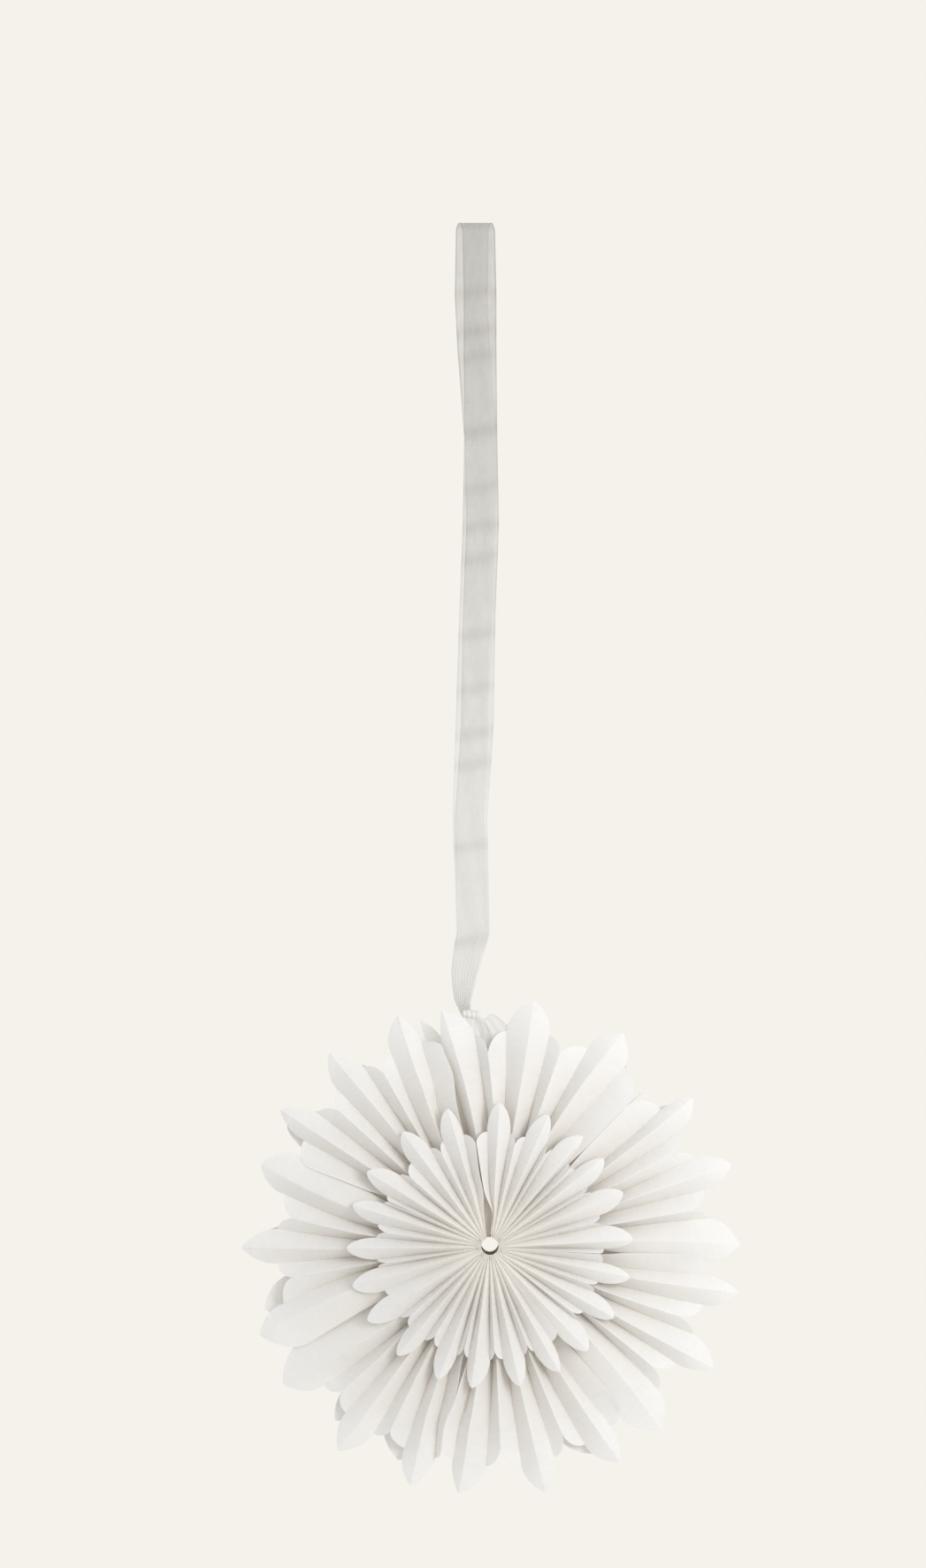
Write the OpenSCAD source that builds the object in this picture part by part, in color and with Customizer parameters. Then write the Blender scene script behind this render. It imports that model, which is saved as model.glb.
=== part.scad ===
// Paper advent star of seven pleated units, hung on a loop of organza ribbon.
// The star stands in the X-Z plane and its front faces -Y.
// The origin is where a hook carries the ribbon: the inside top of the loop.
// Angles run clockwise from the top, seen from the front.

/* [Large petals] */
// Radius of the petal tips on the front
large_tip_r = 177; // [165:1:200]
// Radius where a petal meets its shoulder, at the valley folds
large_valley_r = 154.5; // [148:0.5:162]
// Radius of the V notch between two shoulders
large_notch_r = 140; // [130:1:146]
// How much shorter the large petals of the back are
back_short = 12; // [0:0.5:16]

/* [Small petals] */
// Radius of the small petal tips
small_tip_r = 100.5; // [92:0.5:115]
// Radius where a small petal meets its shoulder
small_valley_r = 80; // [74:0.5:88]
// Radius of the V notch between two small shoulders
small_notch_r = 73; // [66:0.5:78]

/* [Folds] */
// Thickness of the paper
paper_t = 0.2; // [0.12:0.01:0.25]
// Radius of the hole in the middle of the star
hole_r = 6; // [5.5:0.1:9]
// Radius at which the folds of the large petals turn a little
turn_r = 98; // [85:1:115]
// Height of the large ridges above the valleys at the hole
large_rise = 14.5; // [10:0.5:22]
// Height of the large ridges of the front where their folds turn
large_turn_rise = 12; // [8:0.5:18]
// Height of the large ridges above the valleys at the rim
large_rim_rise = 6.5; // [4:0.5:14]
// Height of the small ridges above their valleys at the hole
small_rise = 8.5; // [6:0.5:16]
// Height of the small ridges above their valleys at the rim
small_rim_rise = 4.5; // [3:0.5:12]
// Space between the front and the back rosette at the glued valleys
rosette_gap = 0.9; // [0.7:0.05:0.95]
// Space between the small petals and the large ridges that carry them
tier_gap = 0.3; // [0.15:0.05:0.6]
// Angle of the gap at the hole between the first and the last unit
closure_gap = 30; // [4:1:40]
// Angle between neighbouring units at the hole
seam_gap = 1.2; // [1:0.1:1.6]

/* [Ribbon] */
// Width of the ribbon
ribbon_w = 23; // [15:1:30]
// Thickness of the ribbon
ribbon_t = 0.25; // [0.15:0.05:0.4]
// Radius of the bend over the hook
hook_r = 5; // [4:0.5:9]
// Depth of the waves that the ribbon was pressed into
wave_h = 1.2; // [0:0.1:2]
// Length of the knot
knot_l = 13.5; // [9:0.5:18]
// Thickness of the knot
knot_d = 6.6; // [5:0.2:9]
// Length of the ribbon ends below the knot
tail_l = 44; // [30:1:60]
// Width of the ribbon ends where they spread between the rosettes
tail_w = 30; // [20:1:34]

/* [Placing] */
// Drop from the hook to the middle of the star
star_drop = 718; // [680:1:900]
// Sideways place of the middle of the star
star_x = 11; // [0:1:14]
// Height of the middle of the knot above the valley folds of the large petals
knot_up = 7.5; // [6.5:0.5:14]

/* [Hidden] */
VALLEY = 0;
SHORT = 1;
TALL = 2;
// Free ends of a unit: beside a petal, and beside a shoulder that lies on its neighbour
EDGE = 3;
LAP = 4;
// Height of each kind of fold, as part of the height of a ridge
kind_height = [0, 1, 1, 0.45, 0.8];
// Part of a panel's width at each point of its cut edge, from its ridge or valley
edge_steps = [0, 0.5, 0.84, 1];
// Shape of the pointed leaf curve and of the rounder shoulder curve: swell and end
LEAF = [1.1, 0.55];
SHOULDER = [2, 0.64];
valley_depth = rosette_gap / 2;

// Folds from the first petal of a unit to its third, with shoulders between
PETALS = [TALL, VALLEY, SHORT, VALLEY, TALL, VALLEY, SHORT, VALLEY, TALL];
// Folds of a usual unit, which begins with a shoulder, and of one with two petals
UNIT = [SHORT, VALLEY, each PETALS, VALLEY];
UNIT_TWO = [SHORT, VALLEY, TALL, VALLEY, SHORT, VALLEY, TALL, VALLEY, SHORT, VALLEY, SHORT];

// Each large unit of the front: its folds, their angles at the rim, where they turn,
// and how much longer or shorter than its kind each fold is at the rim
large_front = [
    [[EDGE, each PETALS, VALLEY, SHORT],
        [-13.4, -11.7, -4.3, -0.6, 4.3, 10.3, 15.8, 20, 26.5, 32.2, 37.2, 44.6],
        [-11.2, -8.1, -1.6, 1.4, 6.2, 11.2, 17.3, 20.3, 25.6, 28.4, 34.6, 44.8],
        [-9, -9, -6.5, -5.5, -4, -2.5, -1.5, 2.5, -0.5, -1.5, 1.5, -0.5]],
    [[SHORT, VALLEY, each PETALS, EDGE],
        [45.2, 51.7, 53.9, 59.2, 63.3, 67.1, 71.6, 75.8, 80.2, 83.2, 90, 94.2],
        [45.8, 53.6, 56, 60.4, 64.2, 68, 71.7, 75.2, 80.2, 82.4, 87.9, 93.6],
        [-1, -1.5, -0.5, 0, 1, 1.5, 2, 0.5, 2, 0, -1.5, -1]],
    [[LAP, VALLEY, each PETALS, EDGE],
        [92.4, 97.9, 100.8, 105.8, 110.6, 113.8, 118.9, 122.5, 126.7, 130.8, 137.2, 142.9],
        [93.2, 99.6, 103, 107.6, 111.5, 114.5, 119.3, 121.9, 125.5, 127.9, 133.5, 141.8],
        [0, -1.5, 1, 1.5, 0, 1.5, 2.5, 0.5, 2, 1, -0.5, -2]],
    [[LAP, VALLEY, each PETALS, VALLEY, SHORT],
        [140.5, 146.2, 149, 154.6, 159, 163.2, 167.3, 171.9, 177, 181.2, 187.2, 189.8, 192.9],
        [141.5, 148.6, 151.3, 156.4, 159.7, 163.2, 167.9, 171.7, 176.8, 179.2, 185.5, 187.6, 191.7],
        [0, -0.5, 0.5, 1, 2, 1.5, 1, 1.5, 1, 1, -1, -1.5, 4]],
    [UNIT,
        [193.2, 194.3, 198.3, 202.8, 208.2, 211.7, 216.4, 220.7, 225.4, 229.8, 236.2, 243],
        [193, 197.3, 201.3, 204.3, 209.4, 211.9, 216.6, 220.1, 224.3, 227, 232.6, 243.2],
        [9.5, 0, 1, 0.5, 8, 1.5, 2.5, 1, 5, -1.5, -2, -5.5]],
    [[EDGE, each PETALS, EDGE],
        [241.5, 248.6, 254.1, 260.8, 265, 269.4, 274.2, 277.9, 283.8, 289.5, 295.2],
        [242.9, 252.6, 257.8, 261.3, 264.8, 268.6, 272.4, 275.5, 279.6, 284.8, 294],
        [-8.5, -3.5, -4, 0.5, -4.5, -2.5, -5, -1, -6, -6.5, -3.5]],
    [[LAP, VALLEY, each PETALS, VALLEY, SHORT],
        [293, 299.2, 302.7, 307.3, 311.7, 315.4, 320.1, 324.6, 328.3, 332.7, 338.1, 341.3, 347.1],
        [293.9, 299.5, 302.8, 307.5, 311.5, 315.4, 320.3, 324, 327.4, 330.2, 335.8, 338.8, 346.6],
        [-1, -4.5, -2, -2, 0.5, -2.5, -1, -2, 0.5, -3, -3.5, -5, 4]]
];

// Each small unit of the front: its folds, their angles at the rim, and how much longer
// or shorter than its kind each fold is there
small_front = [
    [[each UNIT, SHORT],
        [-7.5, -1.5, 3.7, 10.2, 13.8, 17.9, 24, 28.9, 31, 33, 40.4, 43, 45.3],
        [0, 0, 0, 0, 0, 0, 0, 0, 0, 0, 0, 0, 4.5]],
    [[each UNIT, SHORT],
        [45.7, 48.4, 52.5, 59, 60.8, 62.5, 68.2, 74.6, 77.5, 80, 87.6, 91.6, 93.8],
        [4.5, 0, 0, 0, 0, 0, 0, 0, 0, 0, 0, 0, 4.5]],
    [[SHORT, VALLEY, each PETALS, EDGE],
        [94.2, 98.6, 102.7, 108.5, 111, 114, 120.2, 125.2, 128.7, 130.4, 137, 142.4],
        [4.5, 0, 0, 0, 0, 0, 0, 0, 0, 0, 0, -1]],
    [[LAP, VALLEY, each PETALS, VALLEY, SHORT],
        [141.9, 147.2, 151.2, 157.4, 159.4, 162.7, 168, 173.5, 177.5, 179.9, 187.4, 191, 194.1],
        [2.5, 0, 0, 0, 0, 0, 0, 0, 0, 0, 0, 0, 0]],
    [[SHORT, VALLEY, each PETALS, EDGE],
        [194.5, 196.8, 201.2, 207.1, 211.5, 214.8, 220.3, 224.9, 229, 232, 238.6, 244],
        [0, 0, 0, 0, 0, 0, 0, 0, 0, 0, 0, -1]],
    [[LAP, VALLEY, each PETALS, VALLEY, SHORT],
        [243.5, 246.9, 253.6, 258.8, 260.9, 263.1, 269.2, 274, 277.4, 280.8, 286.6, 291.6, 293.5],
        [5, 0, 0, 0, 0, 0, 0, 0, 0, 0, 0, 0, 4.5]],
    [[each UNIT, SHORT],
        [293.9, 295.9, 301, 308, 310.8, 316.2, 322.5, 328.3, 332.5, 335.8, 342.8, 346.4, 352],
        [4.5, 0, 0, 0, 0, 0, 0, 0, 0, 0, 0, 0, -1]]
];

// Units of the back rosette: folds, angles of the petals, and where the unit ends.
// The last unit leaves the top free for the ribbon.
back_units = [
    [UNIT, [10, 34.8, 54.5], 60.5],
    [UNIT, [71.5, 89, 101], 106.5],
    [UNIT, [119, 134.6, 153.2], 160.4],
    [UNIT, [169, 183.4, 203], 210.9],
    [UNIT, [221.3, 237.5, 254], 261.4],
    [UNIT, [271, 288, 300], 309.9],
    [UNIT_TWO, [321, 342.5, 361.5], 363.9]
];
back_seam_gap = 0.6;
even = [for (fold = [0:13]) 0];

function back_folds(unit) = let (
        before = unit == 0 ? back_units[6][2] - 360 : back_units[unit - 1][2],
        start = before + back_seam_gap,
        tips = back_units[unit][1],
        folds = [
            start, (start + tips[0]) / 2,
            each quarters(tips[0], tips[1]), each quarters(tips[1], tips[2]),
            tips[2], back_units[unit][2]
        ]
    )
    [for (k = [0:len(back_units[unit][0]) - 1]) folds[k]];
function quarters(from, to) = [for (quarter = [0:3]) from + (to - from) * quarter / 4];

large_back = [for (unit = [0:6]) [back_units[unit][0], back_folds(unit), back_folds(unit), even]];
small_back = [for (unit = [0:6]) [back_units[unit][0], back_folds(unit), even]];

// Number of panels in a list of units, up to one of them
function panels(units, last, i = 0) =
    i > last ? 0 : len(units[i][0]) - 1 + panels(units, last, i + 1);

// Even angles of a unit's folds at the hole, where all the panels are packed side by side
function root_folds(units, unit, gap) = let (
        units_n = len(units),
        step = (360 - gap - (units_n - 1) * seam_gap) / panels(units, units_n - 1),
        middle = (units[0][1][0] + units[units_n - 1][1][len(units[units_n - 1][1]) - 1] - 360) / 2,
        start = middle + gap / 2 + unit * seam_gap + step * panels(units, unit - 1)
    )
    [for (i = [0:len(units[unit][0]) - 1]) start + i * step];

// Radius of every fold of a unit at the rim
function rim_radii(kinds, radii, trim) = [for (k = [0:len(kinds) - 1]) radii[kinds[k]] + trim[k]];

// Radius of the cut edge at part u of panel k: a leaf curve beside a petal's tip,
// and a rounder one beside a shoulder
function edge_r(kinds, rims, k, u) =
    kinds[k] == TALL ? curve_r(rims[k], rims[k + 1], u, LEAF) :
    kinds[k + 1] == TALL ? curve_r(rims[k + 1], rims[k], 1 - u, LEAF) :
    kinds[k] == VALLEY ? curve_r(rims[k], rims[k + 1], u, SHOULDER) :
    curve_r(rims[k + 1], rims[k], 1 - u, SHOULDER);
function curve_r(start, end, u, curve) =
    end + (start - end) * pow(1 - pow(u, curve[0]), curve[1]);

// Steps across a panel, close together where its cut edge is steep
function panel_steps(a, b) =
    a == TALL || (a == VALLEY && b == SHORT) ? edge_steps : [for (i = [3:-1:0]) 1 - edge_steps[i]];

// Stations across a unit: [panel, part of the panel]
function stations(kinds) = [
    for (k = [0:len(kinds) - 2])
        for (u = panel_steps(kinds[k], kinds[k + 1])) [k, u]
];

// Sideways offset of a face at a fold, in millimetres. A fold is two thicknesses
// wide on its outer side and comes to a line on its inner side.
function fold_shift(kind, front, opening) =
    let (outer = (kind == VALLEY || kind == EDGE) != front)
    outer ? (opening ? paper_t : -paper_t) : 0;

// Depth of a face at a fold, from the base of the unit
function fold_depth(kind, front, rise) =
    kind == VALLEY ? (front ? paper_t : 0) : kind_height[kind] * rise - (front ? 0 : paper_t);

// A row is [fold angles, radius or undef at the rim], and a profile gives the depth of the
// base and of the ridges above it at some radii
function sheet_point(kinds, row, rims, profile, station, front) = let (
        k = station[0],
        u = station[1],
        rim = is_undef(row[1]),
        r0 = rim ? rims[k] : row[1],
        r1 = rim ? rims[k + 1] : row[1],
        a0 = row[0][k] + fold_shift(kinds[k], front, true) / r0 * 180 / PI,
        a1 = row[0][k + 1] + fold_shift(kinds[k + 1], front, false) / r1 * 180 / PI,
        r = rim ? edge_r(kinds, rims, k, u) : row[1],
        base = lookup(r, profile[0]),
        rise = lookup(r, profile[1]),
        d0 = base + fold_depth(kinds[k], front, rise),
        d1 = base + fold_depth(kinds[k + 1], front, rise),
        a = u == 0 ? a0 : u == 1 ? a1 : a0 + (a1 - a0) * u,
        d = u == 0 ? d0 : u == 1 ? d1 : d0 + (d1 - d0) * u
    )
    [r * sin(a), -d, r * cos(a)];

// Two triangles of a four-sided face, fewer where two of its corners are one
function quad(a, b, c, d, points) = concat(
    points[a] == points[b] || points[b] == points[c] || points[a] == points[c] ? [] : [[a, b, c]],
    points[a] == points[c] || points[c] == points[d] || points[a] == points[d] ? [] : [[a, c, d]]
);

// One pleated sheet of paper with its rim cut into petals
module sheet(kinds, rows, rims, profile) {
    marks = stations(kinds);
    n = len(marks);
    last = len(rows) - 1;
    points = [
        for (row = rows) for (mark = marks) for (front = [true, false])
            sheet_point(kinds, row, rims, profile, mark, front)
    ];
    function at(row, mark, front) = (row * n + mark) * 2 + (front ? 0 : 1);
    walls = [
        for (row = [0:last - 1]) for (i = [0:n - 2]) each concat(
            quad(at(row, i, true), at(row + 1, i, true),
                at(row + 1, i + 1, true), at(row, i + 1, true), points),
            quad(at(row, i, false), at(row, i + 1, false),
                at(row + 1, i + 1, false), at(row + 1, i, false), points)
        )
    ];
    rims = [
        for (i = [0:n - 2]) each concat(
            quad(at(0, i, true), at(0, i + 1, true),
                at(0, i + 1, false), at(0, i, false), points),
            quad(at(last, i, true), at(last, i, false),
                at(last, i + 1, false), at(last, i + 1, true), points)
        )
    ];
    sides = [
        for (row = [0:last - 1]) each concat(
            quad(at(row, 0, true), at(row, 0, false),
                at(row + 1, 0, false), at(row + 1, 0, true), points),
            quad(at(row, n - 1, true), at(row + 1, n - 1, true),
                at(row + 1, n - 1, false), at(row, n - 1, false), points)
        )
    ];
    polyhedron(points, concat(walls, rims, sides));
}

module at_star() {
    translate([star_x, 0, -star_drop]) children();
}

module at_side(back) {
    at_star() mirror([0, back ? 1 : 0, 0]) children();
}

// Height of the large ridges above their valleys, as pairs of radius and height
function large_rises(back) = [
    [hole_r, large_rise],
    if (!back) [turn_r, large_turn_rise],
    [large_tip_r - (back ? back_short : 0), large_rim_rise]
];

// Large pleated sheet: its folds turn once on the front and run straight on the back
module large_sheet(units, unit, back) {
    kinds = units[unit][0];
    short = back ? back_short : 0;
    valley_r = large_valley_r - short;
    notch_r = large_notch_r - short;
    radii = [valley_r, notch_r, large_tip_r - short, valley_r, notch_r];
    rims = rim_radii(kinds, radii, units[unit][3]);
    root = [root_folds(units, unit, back ? seam_gap : closure_gap), hole_r];
    turn = [units[unit][2], turn_r];
    rim = [units[unit][1], undef];
    profile = [[[hole_r, valley_depth]], large_rises(back)];
    color("whitesmoke")
        at_side(back) sheet(kinds, back ? [root, rim] : [root, turn, rim], rims, profile);
}

// Small pleated sheet, carried on the ridges of the large one
module small_sheet(units, unit, back) {
    kinds = units[unit][0];
    radii = [small_valley_r, small_notch_r, small_tip_r, small_valley_r, small_notch_r];
    rims = rim_radii(kinds, radii, units[unit][2]);
    root = [root_folds(units, unit, back ? seam_gap : closure_gap), hole_r];
    rim = [units[unit][1], undef];
    profile = [
        [for (mark = large_rises(back)) [mark[0], valley_depth + mark[1] + tier_gap]],
        [[hole_r, small_rise], [small_tip_r, small_rim_rise]]
    ];
    color("white") at_side(back) sheet(kinds, [root, rim], rims, profile);
}

// Places along the ribbon below the hook: drop, and sideways place of each strand
strand_places = [
    [0, -1.3, 3.1], [52, -2.2, 4.1], [89, -0.3, 4.1], [151, 4.4, 4.7], [211, 3.4, 5.9],
    [277, 0.9, 3.4], [352, -1.6, 2.2], [419, -3.8, -2.2], [474, -1.9, -1.3], [499, -1.2, -0.8],
    [527, -7, -6.8], [546, -8.4, -8.2], [556, -6.2, -6]
];
FRONT = 1;
BACK = 2;
// Drop over which the ribbon is gathered into the knot, and its width there
gather_l = 62;
gathered_w = 7;
// Half of the space between the strands at the knot
knot_spread = 0.5;
wave_l = 57;
strand_steps = 30;
bend_steps = 8;

knot_x = -2.4;
knot_lean = 8;
knot_ribs = 4;
knot_drop = star_drop - large_valley_r - knot_up;
strand_end = knot_drop - knot_d / 2 - 0.1;

// Sideways place of a strand at a drop
function place_at(drop, strand, i = 0) =
    i >= len(strand_places) - 2 || drop <= strand_places[i + 1][0]
        ? let (
            a = strand_places[i],
            b = strand_places[i + 1],
            part = min(1, (drop - a[0]) / (b[0] - a[0]))
        ) a[strand] + (b[strand] - a[strand]) * part
        : place_at(drop, strand, i + 1);

// Width of the ribbon at a drop, gathered towards the knot
function width_at(drop) =
    let (part = max(0, 1 - (strand_end - drop) / gather_l))
    ribbon_w + (gathered_w - ribbon_w) * part * part;

// Half of the space between the strands, and the wave that both of them follow
function spread_at(drop) =
    let (part = (drop - hook_r) / (strand_end - hook_r))
    knot_spread + (hook_r + ribbon_t / 2 - knot_spread) * pow(1 - part, 2);
function wave_at(drop) =
    wave_h * sin(360 * drop / wave_l) * min(1, (drop - hook_r) / wave_l, (strand_end - drop) / wave_l);

// Rings along the middle of the ribbon: [sideways place, depth, height, width]
function strand_ring(part, strand) =
    let (
        drop = hook_r + (strand_end - hook_r) * part,
        side = strand == FRONT ? -1 : 1
    )
    [place_at(drop, strand), side * spread_at(drop) + wave_at(drop), -drop, width_at(drop)];
function bend_ring(part) =
    let (
        r = hook_r + ribbon_t / 2,
        side = strand_places[0][FRONT] * (1 - part) + strand_places[0][BACK] * part
    )
    [side, -r * cos(180 * part), r * sin(180 * part) - hook_r, ribbon_w];

// Section of the ribbon at a ring, square to its way along the angle given
function ribbon_section(ring, way) = [
    for (c = [[-1, -1], [1, -1], [1, 1], [-1, 1]])
        [
            ring[0] + c[0] * ring[3] / 2,
            ring[1] - c[1] * ribbon_t / 2 * sin(way),
            ring[2] + c[1] * ribbon_t / 2 * cos(way)
        ]
];

// Closed strip through a list of sections with four corners each
module strip(sections) {
    n = len(sections);
    faces = concat(
        [[0, 1, 2], [0, 2, 3]],
        [for (i = [0:n - 2]) for (c = [0:3]) each [
            [i * 4 + c, (i + 1) * 4 + c, (i + 1) * 4 + (c + 1) % 4],
            [i * 4 + c, (i + 1) * 4 + (c + 1) % 4, i * 4 + (c + 1) % 4]
        ]],
        [[n * 4 - 4, n * 4 - 2, n * 4 - 3], [n * 4 - 4, n * 4 - 1, n * 4 - 2]]
    );
    polyhedron([for (s = sections) each s], faces);
}

// Long loop of ribbon: up from the knot, over the hook and down again
module ribbon_loop() {
    rings = concat(
        [for (i = [strand_steps:-1:1]) strand_ring(i / strand_steps, FRONT)],
        [for (i = [0:bend_steps]) bend_ring(i / bend_steps)],
        [for (i = [1:strand_steps]) strand_ring(i / strand_steps, BACK)]
    );
    n = len(rings);
    color("gainsboro") strip([
        for (i = [0:n - 1]) let (
            before = rings[max(0, i - 1)],
            after = rings[min(n - 1, i + 1)],
            way = atan2(after[2] - before[2], after[1] - before[1])
        )
        ribbon_section(rings[i], way)
    ]);
}

// Tight knot that gathers both strands, with a rib for each turn of the ribbon
module ribbon_knot() {
    rib_l = knot_l / knot_ribs;
    rib_h = knot_d * 0.22;
    color("white")
        translate([knot_x, 0, -knot_drop]) rotate([0, 90 - knot_lean, 0])
            rotate_extrude($fn = 24) {
                translate([0, -knot_l / 2 + rib_l / 4]) square([knot_d / 2 - rib_h, knot_l - rib_l / 2]);
                for (i = [0:knot_ribs - 1])
                    translate([0, (i - knot_ribs / 2 + 0.12) * rib_l])
                        square([knot_d / 2 - rib_h / 2, rib_l * 0.76]);
                for (i = [0:knot_ribs - 1])
                    translate([0, (i - knot_ribs / 2 + 0.25) * rib_l]) square([knot_d / 2, rib_l * 0.5]);
            }
}

// Outline of the ribbon ends, as parts of their width to the right and of their length
tails_outline = [
    [-0.2, -0.1], [0.23, -0.06], [0.27, -0.02], [0.42, 0.005], [0.53, 0.03], [0.68, -0.035],
    [0.87, -0.18], [0.9, -0.6], [0.73, -1], [-0.06, -1], [-0.23, -0.5]
];

// The two ribbon ends, laid together between the front and the back rosette
module ribbon_tails() {
    color("beige")
        translate([knot_x, ribbon_t / 2, -knot_drop]) rotate([90, 0, 0]) linear_extrude(ribbon_t)
            polygon([for (p = tails_outline) [p[0] * tail_w, p[1] * tail_l]]);
}

ribbon_loop();
ribbon_knot();
ribbon_tails();
for (unit = [1:7]) {
    large_sheet(large_front, unit - 1, false);
    small_sheet(small_front, unit - 1, false);
    large_sheet(large_back, unit - 1, true);
    small_sheet(small_back, unit - 1, true);
}
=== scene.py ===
"""Looks of the paper advent star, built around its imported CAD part.

The star stands in the X-Z plane and faces -Y. The origin is the inside top of the
ribbon loop. Angles run clockwise from the top, seen from the front, in degrees, and
radii are measured from the middle of the star, in metres.
"""

import math

import bmesh
import bpy
import numpy as np
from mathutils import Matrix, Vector


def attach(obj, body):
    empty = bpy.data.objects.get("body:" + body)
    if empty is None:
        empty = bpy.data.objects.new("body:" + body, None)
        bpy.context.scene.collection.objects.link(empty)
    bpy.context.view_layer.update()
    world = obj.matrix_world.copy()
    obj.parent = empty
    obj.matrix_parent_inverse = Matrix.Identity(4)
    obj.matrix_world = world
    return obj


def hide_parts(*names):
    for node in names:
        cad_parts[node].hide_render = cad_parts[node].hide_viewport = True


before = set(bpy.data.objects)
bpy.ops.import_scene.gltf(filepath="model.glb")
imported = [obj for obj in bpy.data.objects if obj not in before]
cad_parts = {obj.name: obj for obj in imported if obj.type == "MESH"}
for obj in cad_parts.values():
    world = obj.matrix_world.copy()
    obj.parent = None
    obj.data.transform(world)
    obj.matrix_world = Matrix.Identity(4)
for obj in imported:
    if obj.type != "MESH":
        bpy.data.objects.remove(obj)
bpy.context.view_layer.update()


# Camera: straight in front, level with the middle of the upright picture and six metres
# away, so that the ribbon stays upright and the star is seen almost square on.
PICTURE_MIDDLE = Vector((-0.0079, 0.0, -0.3943))
PICTURE_HEIGHT = 1.102
CAMERA_AWAY = 6.0
SENSOR = 24.0
camera_data = bpy.data.cameras.new("camera")
camera_data.sensor_fit = "VERTICAL"
camera_data.sensor_height = SENSOR
camera_data.sensor_width = SENSOR
camera_data.lens = SENSOR * CAMERA_AWAY / PICTURE_HEIGHT
camera = bpy.data.objects.new("camera", camera_data)
camera.location = PICTURE_MIDDLE + Vector((0.0, -CAMERA_AWAY, 0.0))
camera.rotation_euler = (math.pi / 2, 0.0, 0.0)
bpy.context.scene.collection.objects.link(camera)
bpy.context.scene.camera = camera
bpy.context.scene.view_settings.view_transform = "Standard"
bpy.context.scene.cycles.diffuse_bounces = 12


# Room: a pale floor well below the star, a soft square lamp in front on the right, and a
# world that looks cream to the camera and gives the paper an even, slightly cool light.
CREAM = (0.913, 0.888, 0.831, 1.0)
COOL_LIGHT = (0.9, 0.915, 0.945, 1.0)
LIGHT_STRENGTH = 0.86
FLOOR_Z = -1.45
FLOOR_HALF = 4.0
STAR_MIDDLE = Vector((0.011, 0.0, -0.718))
LAMP_PLACE = Vector((0.5, -0.8, 0.22))
LAMP_SIZE = 0.45
LAMP_POWER = 3.4


def set_inputs(node, values):
    for socket, value in values.items():
        node.inputs[socket].default_value = value


def add_node(tree, kind, values=None, **settings):
    """A new shader node with its settings and the values of its inputs."""
    node = tree.nodes.new("ShaderNode" + kind)
    for setting, value in settings.items():
        setattr(node, setting, value)
    set_inputs(node, values or {})
    return node


def new_material(name, values):
    """A material, its node tree and its shader, whose inputs get the values."""
    material = bpy.data.materials.new(name)
    material.use_nodes = True
    shader = material.node_tree.nodes["Principled BSDF"]
    set_inputs(shader, values)
    return material, material.node_tree, shader


def make_object(name, bm, material):
    """The object of a finished bmesh."""
    mesh = bpy.data.meshes.new(name)
    bm.to_mesh(mesh)
    bm.free()
    mesh.materials.append(material)
    made = bpy.data.objects.new(name, mesh)
    bpy.context.scene.collection.objects.link(made)
    return made


def make_world():
    world = bpy.data.worlds.new("room")
    bpy.context.scene.world = world
    world.use_nodes = True
    tree = world.node_tree
    link = tree.links.new
    tree.nodes.clear()
    ray = add_node(tree, "LightPath")
    seen = ray.outputs["Is Camera Ray"]
    for kind in ("Is Glossy Ray", "Is Transmission Ray"):
        either = add_node(tree, "Math", operation="MAXIMUM")
        link(seen, either.inputs[0])
        link(ray.outputs[kind], either.inputs[1])
        seen = either.outputs[0]
    light = add_node(tree, "Background", {"Color": COOL_LIGHT, "Strength": LIGHT_STRENGTH})
    shown = add_node(tree, "Background", {"Color": CREAM, "Strength": 1.0})
    mix = add_node(tree, "MixShader")
    link(seen, mix.inputs[0])
    link(light.outputs[0], mix.inputs[1])
    link(shown.outputs[0], mix.inputs[2])
    out = add_node(tree, "OutputWorld")
    link(mix.outputs[0], out.inputs["Surface"])


def make_floor():
    bm = bmesh.new()
    bmesh.ops.create_grid(bm, x_segments=1, y_segments=1, size=FLOOR_HALF)
    for corner in bm.verts:
        corner.co.z = FLOOR_Z
    values = {"Base Color": CREAM, "Roughness": 0.9, "Specular IOR Level": 0.1}
    material = new_material("floor", values)[0]
    floor = make_object("floor", bm, material)


def make_lamp():
    data = bpy.data.lights.new("key", "AREA")
    data.shape = "SQUARE"
    data.size = LAMP_SIZE
    data.energy = LAMP_POWER
    lamp = bpy.data.objects.new("key", data)
    bpy.context.scene.collection.objects.link(lamp)
    lamp.location = STAR_MIDDLE + LAMP_PLACE
    lamp.rotation_mode = "QUATERNION"
    lamp.rotation_quaternion = (STAR_MIDDLE - lamp.location).to_track_quat("-Z", "Y")


make_world()
make_floor()
make_lamp()


# Large petals of the front: seven pleated sheets of matt white paper, each cut into
# petals and shoulders at its rim. Their folds are packed side by side at the hole in the
# middle, and each sheet is glued to the next.
GRAIN_SCALE = (90.0, 620.0, 1.0)
# Paper white towards the rim, and the warmer, brighter white of painted bounce light that it
# turns to deep in the folds near the middle
OUTER_WHITE = (0.965, 0.957, 0.945, 1.0)
PAINTED_BOUNCE_WHITE = (1.0, 0.965, 0.905, 1.0)
LIGHT_THROUGH = 0.3


def add_ramp(tree, low, high, low_at=0.0, high_at=1.0):
    """A ramp from one colour to another, between two places."""
    ramp = add_node(tree, "ValToRGB")
    first, last = ramp.color_ramp.elements
    first.color, last.color = low, high
    first.position, last.position = low_at, high_at
    return ramp


def multiply_colors(tree, share, first, second):
    """The first colour multiplied by the second one, by a share."""
    mix = add_node(tree, "Mix", {"Factor": share}, data_type="RGBA", blend_type="MULTIPLY")
    tree.links.new(first, mix.inputs["A"])
    tree.links.new(second, mix.inputs["B"])
    return mix.outputs["Result"]


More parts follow.
